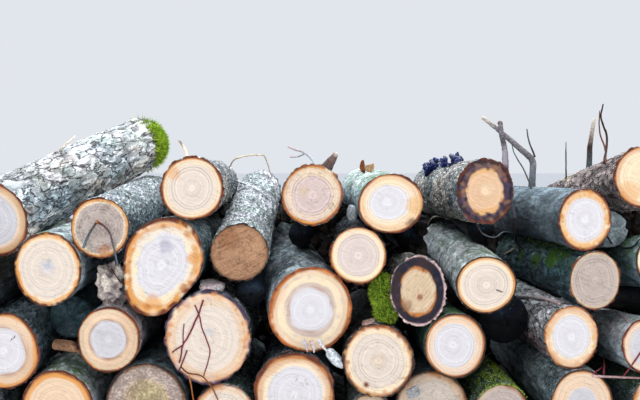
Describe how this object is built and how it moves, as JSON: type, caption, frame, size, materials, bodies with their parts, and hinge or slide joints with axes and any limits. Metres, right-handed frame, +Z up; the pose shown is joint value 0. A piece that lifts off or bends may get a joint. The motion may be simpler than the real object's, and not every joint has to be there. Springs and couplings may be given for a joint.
{
  "type": "stack of logs",
  "caption": "Freestanding pile of bark-covered roundwood billets with square-sawn butts, laid by hand in nested rows.",
  "frame": {"origin": "on the floor, below the middle of the stack's box", "axes": "+X along the stack, to the right of someone facing the sawn butts; +Y from the butts to the far ends; +Z up"},
  "size_m": [2.7433, 1.1892, 1.0573],
  "materials": {
    "roundwood": "rough bark, weathered sawn ends"
  },
  "bodies": {
    "root": {"bottom_1": "roundwood", "bottom_10": "roundwood", "bottom_11": "roundwood", "bottom_12": "roundwood", "bottom_2": "roundwood", "bottom_3": "roundwood", "bottom_4": "roundwood", "bottom_5": "roundwood", "bottom_6": "roundwood", "bottom_7": "roundwood", "bottom_8": "roundwood", "bottom_9": "roundwood", "ground_1": "roundwood", "ground_10": "roundwood", "ground_11": "roundwood", "ground_12": "roundwood", "ground_13": "roundwood", "ground_2": "roundwood", "ground_3": "roundwood", "ground_4": "roundwood", "ground_5": "roundwood", "ground_6": "roundwood", "ground_7": "roundwood", "ground_8": "roundwood", "ground_9": "roundwood", "middle_1": "roundwood", "middle_10": "roundwood", "middle_2": "roundwood", "middle_3": "roundwood", "middle_4": "roundwood", "middle_5": "roundwood", "middle_6": "roundwood", "middle_7": "roundwood", "middle_8": "roundwood", "middle_9": "roundwood", "top_1": "roundwood", "top_2": "roundwood", "top_3": "roundwood", "top_4": "roundwood", "top_5": "roundwood", "top_6": "roundwood", "top_7": "roundwood", "top_8": "roundwood", "top_9": "roundwood", "upper_1": "roundwood", "upper_2": "roundwood", "upper_3": "roundwood", "upper_4": "roundwood", "upper_5": "roundwood", "upper_6": "roundwood", "upper_7": "roundwood", "upper_8": "roundwood", "wedge_1": "roundwood", "wedge_2": "roundwood", "wedge_3": "roundwood", "wedge_4": "roundwood", "wedge_5": "roundwood", "wedge_6": "roundwood", "wedge_7": "roundwood", "wedge_8": "roundwood"}
  },
  "joints": []
}
